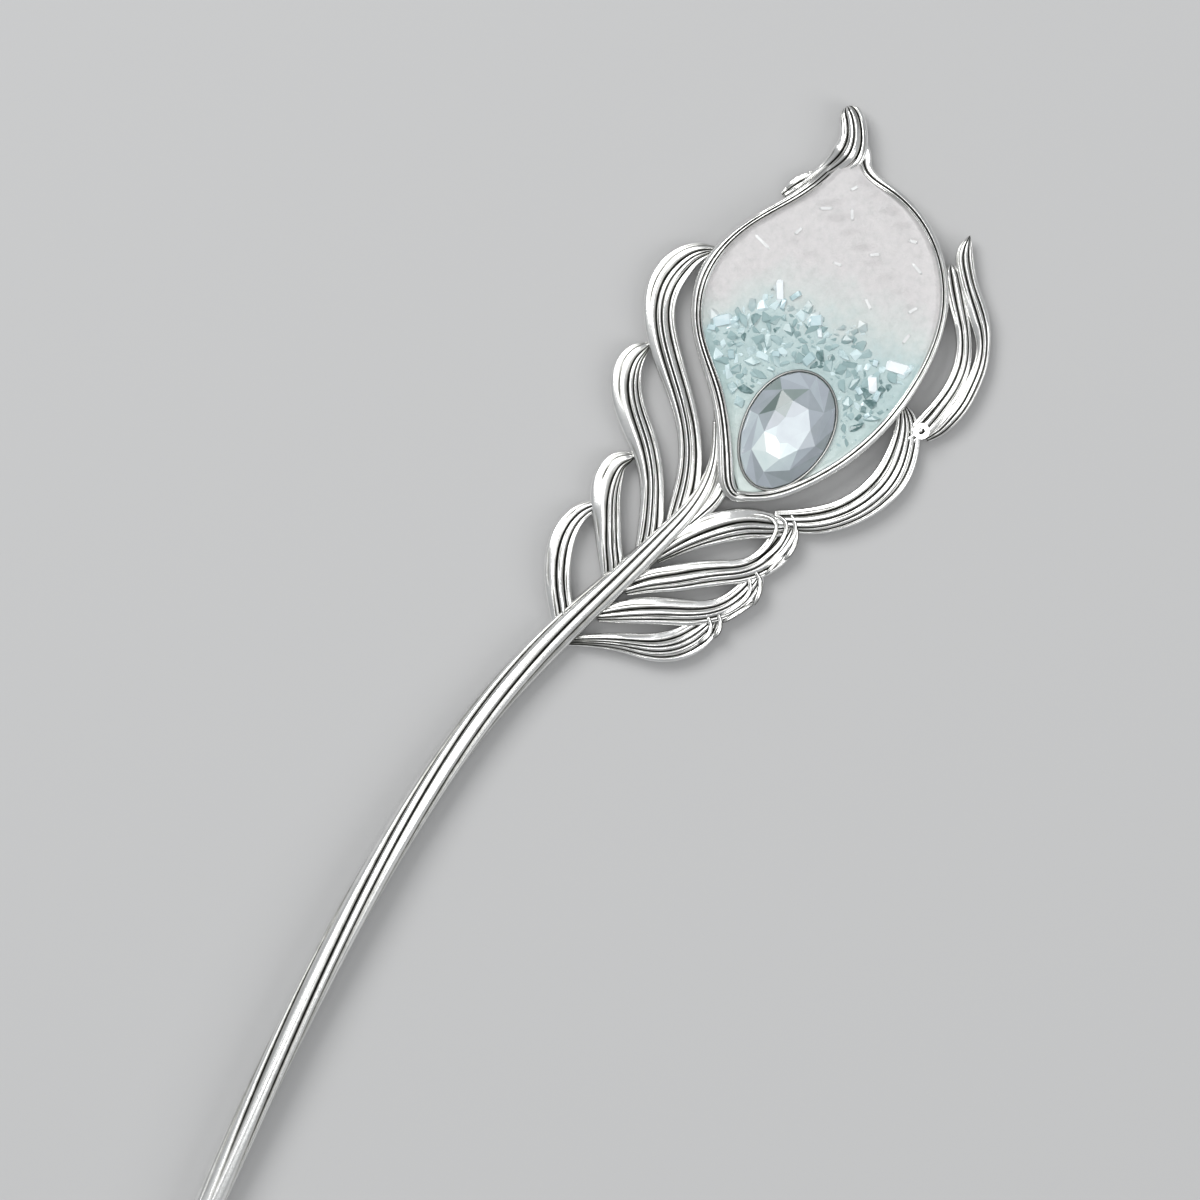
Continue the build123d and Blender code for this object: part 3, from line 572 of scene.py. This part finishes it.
def make_crystal(name, stops, see_through, veiled=False):
    """Broken crystal, each piece of its own tone; the veiled kind fades into the upper resin."""
    nodes = Nodes(name)
    chance = nodes.add("ShaderNodeNewGeometry").outputs["Random Per Island"]
    place = nodes.place()
    streaks = nodes.noise(1500.0, 3.0, 0.6, place)
    mixed = nodes.add("ShaderNodeMath", {0: streaks, 1: 0.35}, operation="MULTIPLY").outputs[0]
    total = nodes.add("ShaderNodeMath", {0: chance, 1: mixed}, operation="ADD").outputs[0]
    bump = nodes.add("ShaderNodeBump", {"Height": streaks, "Strength": 0.15, "Distance": 0.0001})
    colour = nodes.ramp(total, stops)
    if veiled:
        veil = nodes.ramp(aqua_level(nodes, place), [(0.72, (0.0, 0.0, 0.0)), (0.86, (0.9, 0.9, 0.9))])
        colour = nodes.add("ShaderNodeMix", {"Factor": veil, 6: colour, 7: (*VEIL_COLOUR, 1.0)},
                           data_type="RGBA").outputs[2]
    nodes.set(Base_Color=colour, Roughness=0.07, Normal=bump.outputs["Normal"])
    nodes.shader.inputs["IOR"].default_value = 1.58
    nodes.shader.inputs["Transmission Weight"].default_value = see_through
    return nodes.material


def make_shard_material():
    """The bright crystals, from aqua to white by the tone that the mesh gives each one: their own colour,
    with painted glint in the white ones and painted light on faces that look right.
    """
    nodes = Nodes("pale_crystal_painted_glint")
    tone = nodes.add("ShaderNodeAttribute", attribute_name="tone").outputs["Fac"]
    place = nodes.place()
    streaks = nodes.noise(1500.0, 3.0, 0.6, place)
    mixed = nodes.scaled(streaks, SHARD_STREAKS)
    total = nodes.add("ShaderNodeMath", {0: tone, 1: mixed}, operation="ADD").outputs[0]
    bump = nodes.add("ShaderNodeBump", {"Height": streaks, "Strength": 0.2, "Distance": 0.0001})
    # the white end is partly painted glint
    colour = nodes.ramp(total, [
        (0.3, (0.42, 0.58, 0.6)), (0.75, (0.62, 0.78, 0.82)), (1.1, (0.93, 0.98, 1.0))])
    nodes.set(Base_Color=colour, Roughness=0.07, Normal=bump.outputs["Normal"])
    nodes.shader.inputs["IOR"].default_value = 1.58
    nodes.shader.inputs["Transmission Weight"].default_value = 0.08
    return nodes.material


def make_floor():
    """The plain grey ground."""
    nodes = Nodes("floor")
    nodes.set(Base_Color=(0.5, 0.5, 0.5, 1.0), Roughness=0.9)
    return nodes.material


silver = make_silver("silver", 0.93)
# darkened silver for the wire round the stone: painted shade for the gap round it
shade_dark_silver = make_silver("silver_painted_shade", 0.5)
satin_silver = make_silver("satin_silver", 0.75)
resin = make_resin()
aqua = make_crystal("aqua_crystal", [
    (0.16, (0.10, 0.18, 0.18)), (0.24, (0.27, 0.38, 0.385)), (0.6, (0.33, 0.46, 0.465)),
    (0.9, (0.43, 0.56, 0.57)), (1.1, (0.66, 0.80, 0.82))], 0.0, veiled=True)
pale_aqua = make_shard_material()
quartz = make_crystal("quartz", [(0.2, (0.78, 0.79, 0.79)), (1.0, (0.9, 0.91, 0.91))], 0.3)
stone = make_gem()


# ---------------------------------------------------------------- pieces
def finish_piece(piece, material, slot, *nodes):
    """Give a piece its material and body, and hide the CAD nodes that it stands for."""
    piece.data.materials.append(material)
    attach(piece, "root")
    if nodes:
        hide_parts(*nodes)
    return piece


def make_plume(name):
    """One plume, a strip that is low at the root, full in the middle and thin at the tip."""
    line = through(PLUMES[name], 110)
    tall = PLUME_HEIGHTS.get(name, PLUME_HEIGHT)
    root, tip = GROOVES[name]
    widths = line[:, 2]

    def height(share):
        width = np.interp(share, np.linspace(0, 1, len(widths)), widths)
        rise = tall * (1 - 0.45 * smooth((share - 0.55) / 0.45)) * (0.8 + 0.2 * smooth(share / 0.3))
        return min(rise, max(0.75 * width, 0.6) + 0.35)

    def base(share):
        return PLUME_BASE + 0.35 * smooth((share - 0.6) / 0.4)

    return strip_piece(name + "_strands", line, groove_blend(root, tip), height, base)


def make_stem():
    """The stem and quill, with grooves that turn round it above its smooth lower stretch."""
    rows, samples = 620, 17
    line = through(QUILL, rows)
    ahead = np.gradient(line[:, :3], axis=0)
    ahead /= np.linalg.norm(ahead, axis=1)[:, None]
    grooves = list(STEM_GROOVES) + [1.0]
    u = -np.cos(np.linspace(0, pi, samples))[:-1]
    angles = np.concatenate([lo + (hi - lo) * (u + 1) / 2 for lo, hi in zip(grooves, grooves[1:])])
    mark = np.tile(np.abs(u), len(grooves) - 1)
    points, dirt = [], []
    for r in range(rows):
        y = line[r, 1]
        share = (y - TWIST_FROM) / (QUILL[-1][1] - TWIST_FROM)
        strength = smooth((y - TWIST_FROM) / (TWIST_FULL - TWIST_FROM))
        turn = radians(TWIST_DEGREES) * share
        side = np.cross(ahead[r], (0.0, 0.0, 1.0))
        side /= np.linalg.norm(side)
        up = np.cross(side, ahead[r])
        arch = np.sqrt(1 - np.clip(mark, 0, 1) ** 2) ** 0.9
        radius = line[r, 3] * (1 - strength * STEM_GROOVE_DEPTH * (1 - arch))
        phi = angles * tau + turn
        points.append(line[r, :3] + np.outer(radius * np.cos(phi), side)
                      + np.outer(radius * np.sin(phi), up))
        dirt.append(strength * mark**GROOVE_SHARPNESS)
    columns = len(angles)
    faces = tube_faces(rows, columns)
    return mesh_piece("stem_strands", np.concatenate(points), faces, np.concatenate(dirt))


def rim_side(outer, inner, rows=170):
    """The line of x, y, width rows between the bezel's outer and inner edges, from the bottom up."""
    a, b = through([(x, y, 0) for x, y in outer], rows), through([(x, y, 0) for x, y in inner], rows)
    nearest = []
    for p in a:
        nearest.append(b[np.argmin(np.linalg.norm(b[:, :2] - p[:2], axis=1))])
    near = np.array(nearest)
    middle = (a + near) / 2
    middle[:, 2] = np.linalg.norm(a[:, :2] - near[:, :2], axis=1)
    return through(middle[::6], rows)


def joined_strips(name, strips):
    """One piece from several strips, each given as its rows of points and of groove values."""
    points, dirt, faces = [], [], []
    start = 0
    for rows, marks in strips:
        faces += tube_faces(len(rows), len(rows[0]), start)
        start += len(rows) * len(rows[0])
        points += rows
        dirt += marks
    return mesh_piece(name, np.concatenate(points), faces, np.concatenate(dirt))


def make_rim():
    """The bezel's wall: bands and wires side by side on the left and on the right."""

    def height(share):
        return RIM_HEIGHT - RIM_TIP_DROP * smooth((share - RIM_DROP_FROM) / RIM_DROP_SHARE)

    left = ([RIM_FOOT_OUTER] + OUTER_LEFT, [RIM_FOOT_INNER] + INNER_LEFT, RIM_LEFT_EDGES)
    right = (OUTER_RIGHT, INNER_RIGHT, RIM_RIGHT_EDGES)
    strips = []
    for outer, inner, edges in (left, right):
        strips.append(strip_rows(rim_side(outer, inner), lambda share: edges, height,
                                 lambda share: 0.0, tip_rounding=0.0, depth=0.7, side=0.8, top_drop=0.03))
    return joined_strips("bezel_rim", strips)


def make_rachis_bands():
    """The flat bands between the rachis and the foot of the bezel."""
    strips = [strip_rows(through(band, 90), lambda share: [0.0, 0.55, 1.0],
                         lambda share: BAND_HEIGHT, lambda share: PLUME_BASE,
                         tip_rounding=0.2, root_rounding=0.2) for band in RACHIS_BANDS]
    return joined_strips("rachis_bands", strips)


def make_fringe():
    """Thin half-round wires that lie over the tips of the right-hand plumes."""
    strips = [strip_rows(through(strand, 46), lambda share: [0.0, 1.0],
                         lambda share: FRINGE_HEIGHT, lambda share: FRINGE_Z,
                         tip_rounding=0.3, root_rounding=0.2, clean_sides=False) for strand in FRINGE]
    return joined_strips("plume_fringe", strips)


inner_left = through([(x, y, 0) for x, y in INNER_LEFT], 90)
inner_right = through([(x, y, 0) for x, y in INNER_RIGHT], 90)


def make_resin_fill():
    """The resin: gently uneven on top, and drawn up a little where it meets the wall."""
    rows, columns = 150, 90
    share = np.linspace(0, 1, columns)
    near_wall = np.exp(-np.minimum(share, 1 - share) * columns / 3)
    points = []
    for y in np.linspace(RESIN_FROM, RESIN_TO, rows):
        low = np.interp(y, inner_left[:, 1], inner_left[:, 0]) - RESIN_TUCK
        high = np.interp(y, inner_right[:, 1], inner_right[:, 0]) + RESIN_TUCK
        x = low + (high - low) * share
        waves = np.sin(0.9 * x + 0.5 * y) * np.sin(0.7 * y - 0.4 * x + 1) + 0.2 * np.sin(2.3 * x - 3.1 * y)
        z = RESIN_Z + RESIN_WAVE * waves + RESIN_CREEP * near_wall
        points.append(np.stack([x, np.full(columns, y), z], axis=1))
        points.append([(high, y, RESIN_FLOOR), (low, y, RESIN_FLOOR)])
    return mesh_piece("resin_fill", np.concatenate(points), tube_faces(rows, columns + 2))


def bmesh_piece(name, built):
    """A piece from a bmesh, which is freed."""
    mesh = bpy.data.meshes.new(name)
    built.to_mesh(mesh)
    built.free()
    piece = bpy.data.objects.new(name, mesh)
    bpy.context.scene.collection.objects.link(piece)
    return piece


def make_shards():
    """The few large bright crystals, each a pointed prism with a tone of its own and painted light on its
    faces that look right.
    """
    shards = bmesh.new()
    tone_and_light_values = shards.faces.layers.float.new("tone")
    for x, y, turn, length, width, tone in SHARDS:
        corners = []
        for along, across, up in SHARD_CORNERS:
            px, py = along * length, across * width
            angle = radians(turn)
            corners.append(shards.verts.new((
                (x + px * cos(angle) - py * sin(angle) + HEAD[0]) * MM,
                (y + px * sin(angle) + py * cos(angle) + HEAD[1]) * MM,
                (SHARD_Z + up * SHARD_RISE) * MM)))
        hull = bmesh.ops.convex_hull(shards, input=corners)
        for face in hull["geom"]:
            if isinstance(face, bmesh.types.BMFace):
                # painted light: faces that look right are made lighter
                face[tone_and_light_values] = tone + SHARD_SIDE_LIGHT * face.normal.x
    return bmesh_piece("bright_shards", shards)


def make_chips():
    """Broken crystals of many sizes, crowded in the lower part of the resin."""
    random = Random(CHIP_SEED)
    crystals = bmesh.new()
    placed = []
    for size, tries in CHIP_SIZES:
        for _ in range(tries):
            x, y = random.uniform(-12, 12), random.uniform(-18, 3)
            crowded = any(np.hypot(x - px, y - py) < 0.62 * (size + ps) for px, py, ps in placed)
            if crowded or not in_chip_bed(x, y, size):
                continue
            placed.append((x, y, size))
            add_chip(crystals, random, x, y, size)
    return bmesh_piece("crushed_crystal", crystals)


def in_chip_bed(x, y, size):
    """True where the crushed crystal lies: inside the bezel, below its edge, clear of the stone."""
    low_x = np.interp(y, inner_left[:, 1], inner_left[:, 0]) + size
    high_x = np.interp(y, inner_right[:, 1], inner_right[:, 0]) - size
    if not low_x < x < high_x:
        return False
    edge = np.interp(x, [p[0] for p in CHIP_EDGE], [p[1] for p in CHIP_EDGE])
    foot = np.interp(x, [p[0] for p in CHIP_FOOT], [p[1] for p in CHIP_FOOT])
    if not foot < y < edge:
        return False
    dx, dy = x - STONE_MIDDLE[0], y - STONE_MIDDLE[1]
    return np.hypot(dx / (STONE_HALF[0] + 0.4 + size), dy / (STONE_HALF[1] + 0.4 + size)) > 1


def add_chip(crystals, random, x, y, size):
    """One crystal: the hull of nine points on a squashed and tilted ball."""
    turn = random.uniform(0, tau)
    stretch = random.uniform(1.0, 1.7)
    tilt = random.uniform(-0.4, 0.4)
    corners = []
    for k in range(9):
        up = 1 - 2 * (k + 0.5) / 9
        angle = k * 2.4 + random.uniform(-0.6, 0.6)
        out = (1 - up * up) ** 0.5 * size
        px, py = out * cos(angle) * stretch, out * sin(angle) / stretch
        corners.append(crystals.verts.new((
            (x + px * cos(turn) - py * sin(turn) + HEAD[0]) * MM,
            (y + px * sin(turn) + py * cos(turn) + HEAD[1]) * MM,
            (CHIP_Z + 0.5 * size * up + tilt * px) * MM)))
    hull = bmesh.ops.convex_hull(crystals, input=corners)
    spare = [v for v in hull["geom_interior"] if isinstance(v, bmesh.types.BMVert)]
    bmesh.ops.delete(crystals, geom=spare, context="VERTS")


def make_collet():
    """A thin wire round the stone, darkened as painted shade for the gap round it."""
    columns, rows = 12, 120
    points = []
    for r in range(rows):
        angle = r * tau / rows
        x, y, _ = stone_point(1.0, 0.0, angle)
        across = np.array([cos(angle) * STONE_HALF[1], sin(angle) * STONE_HALF[0]])
        across /= np.linalg.norm(across)
        for c in range(columns):
            turn = c * tau / columns
            out = COLLET_OFFSET + COLLET_R * cos(turn)
            points.append((x + out * across[0], y + out * across[1], COLLET_Z + 2.2 * COLLET_R * sin(turn)))
    faces = []
    for r in range(rows):
        for c in range(columns):
            a, b = r * columns, (r + 1) % rows * columns
            d = (c + 1) % columns
            faces.append((a + c, b + c, b + d, a + d))
    return mesh_piece("stone_wire", points, faces, np.full(len(points), COLLET_SHADE))


def stone_point(scale, height, angle):
    """A point of the stone, on its egg-shaped outline scaled about the middle."""
    swell = 1 + STONE_EGG * sin(angle)
    return (STONE_MIDDLE[0] + scale * STONE_HALF[0] * cos(angle) * swell,
            STONE_MIDDLE[1] + scale * STONE_HALF[1] * sin(angle), GIRDLE_Z + height)


def make_stone():
    """The oval brilliant, with the table divided by the back facets that show through it, each facet given
    a painted brightness.
    """
    rings = []
    for scale, height, count, turn in STONE_RINGS:
        rings.append([stone_point(scale, height, (k + turn) * tau / count) for k in range(count)])
    points = [p for ring in rings for p in ring]
    starts = np.cumsum([0] + [len(ring) for ring in rings])
    heart, table, star, girdle, under, back = starts[:6]
    faces = [tuple(heart + k for k in range(8))]
    for k in range(8):
        n = (k + 1) % 8
        faces += [(heart + k, table + k, heart + n), (heart + n, table + k, table + n)]
        faces += [(table + k, star + k, table + n), (table + n, star + k, star + n)]
        faces += [(star + k, girdle + 2 * k, girdle + 2 * k + 1),
                  (star + k, girdle + 2 * k + 1, girdle + (2 * k + 2) % 16),
                  (star + k, girdle + (2 * k + 2) % 16, star + n)]
    for k in range(16):
        n = (k + 1) % 16
        faces += [(girdle + k, under + k, under + n, girdle + n),
                  (under + k, back + k // 2, under + n)]
    piece = mesh_piece("faceted_gem", points, faces, flat=True)
    # each facet's tone is its painted light
    tone_and_light_values = piece.data.attributes.new("tone", "FLOAT", "FACE")
    for k, polygon in enumerate(piece.data.polygons):
        tone_and_light_values.data[k].value = painted_facet_light(k, polygon.center)
    return piece


def painted_facet_light(k, centre):
    """Painted light for one facet: a white painted highlight over the lower left of the table, dark painted
    shade above it.
    """
    x = (centre[0] / MM - HEAD[0] - STONE_MIDDLE[0]) / STONE_HALF[0]
    y = (centre[1] / MM - HEAD[1] - STONE_MIDDLE[1]) / STONE_HALF[1]
    # painted highlight and painted shade; the sine term makes facets lighter and darker in turn, as painted
    # reflections
    painted_highlight = np.exp(-((x + 0.15) / 0.33) ** 2 - ((y + 0.3) / 0.27) ** 2)
    shade = np.exp(-((x + 0.6) / 0.3) ** 2 - ((y - 0.4) / 0.3) ** 2)
    return float(np.clip(0.47 + 0.6 * painted_highlight - 0.5 * shade + 0.15 * sin(7.3 * k), 0, 1))


for plume in PLUMES:
    finish_piece(make_plume(plume), silver, "silver", plume)
finish_piece(make_stem(), silver, "silver", "stem")
finish_piece(make_rim(), silver, "silver", "bezel_frame", "bezel_strip")
finish_piece(make_fringe(), silver, "silver")
finish_piece(make_rachis_bands(), silver, "silver")
finish_piece(make_collet(), shade_dark_silver, "silver", "stone_collet")
finish_piece(make_resin_fill(), resin, "resin", "resin_bed")
finish_piece(make_chips(), aqua, "aquamarine", "aquamarine_chips")
finish_piece(make_shards(), pale_aqua, "pale_aquamarine", "aquamarine_glints")
finish_piece(make_stone(), stone, "stone", "faceted_stone")


def dress(node, material):
    """Gives a CAD node its material."""
    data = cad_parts[node].data
    data.materials.clear()
    data.materials.append(material)


for node in ("back_plate", "tassel_eyelet"):
    dress(node, satin_silver)
dress("quartz_slivers", quartz)


# ---------------------------------------------------------------- stage, light and camera
def make_stage():
    """The floor, which belongs to the picture and not to the object."""
    mesh = bpy.data.meshes.new("floor")
    half = FLOOR_HALF
    mesh.from_pydata([(-half, -half, 0), (half, -half, 0), (half, half, 0), (-half, half, 0)], [],
                     [(0, 1, 2, 3)])
    floor = bpy.data.objects.new("floor", mesh)
    floor.location.z = FLOOR_Z
    bpy.context.scene.collection.objects.link(floor)
    mesh.materials.append(make_floor())


def view_point(right, up, height):
    """A point given by its distances right and up in the picture, in metres, and its height."""
    turn = radians(VIEW_TURN)
    centre = (np.array(VIEW_CENTRE) + HEAD[:2]) * MM
    return (centre[0] + right * cos(turn) - up * sin(turn),
            centre[1] + right * sin(turn) + up * cos(turn), height)


def softbox(name, right, up, height, size, power):
    """A rectangular lamp that faces the middle of the picture."""
    light = bpy.data.lights.new(name, "AREA")
    light.shape = "RECTANGLE"
    light.size, light.size_y = size
    light.energy = power
    lamp = bpy.data.objects.new(name, light)
    lamp.location = view_point(right, up, height)
    target = np.array(view_point(0, 0, 0))
    toward = target - np.array(lamp.location)
    lamp.rotation_euler = Vector(toward).to_track_quat("-Z", "Y").to_euler()
    bpy.context.scene.collection.objects.link(lamp)


def make_camera():
    """A camera straight above the middle of the picture."""
    camera = bpy.data.cameras.new("camera")
    camera.sensor_width = SENSOR
    camera.lens = SENSOR * CAMERA_HEIGHT / (VIEW_WIDTH * MM)
    camera.clip_start = 0.01
    holder = bpy.data.objects.new("camera", camera)
    holder.location = view_point(0, 0, CAMERA_HEIGHT)
    holder.rotation_euler = (0, 0, radians(VIEW_TURN))
    bpy.context.scene.collection.objects.link(holder)
    bpy.context.scene.camera = holder


def make_world():
    """Even, slightly blue light from all sides."""
    world = bpy.data.worlds.new("studio")
    world.use_nodes = True
    world.node_tree.nodes["Background"].inputs["Color"].default_value = WORLD_COLOUR
    world.node_tree.nodes["Background"].inputs["Strength"].default_value = WORLD_STRENGTH
    bpy.context.scene.world = world


make_stage()
make_world()
softbox("key", -0.35, 0.45, 0.75, (0.5, 0.5), KEY_POWER)
softbox("fill", 0.6, -0.2, 0.6, (0.35, 0.6), FILL_POWER)
softbox("top", 0.0, 0.0, 1.3, (0.5, 0.3), TOP_POWER)
make_camera()
bpy.context.scene.view_settings.view_transform = "Standard"
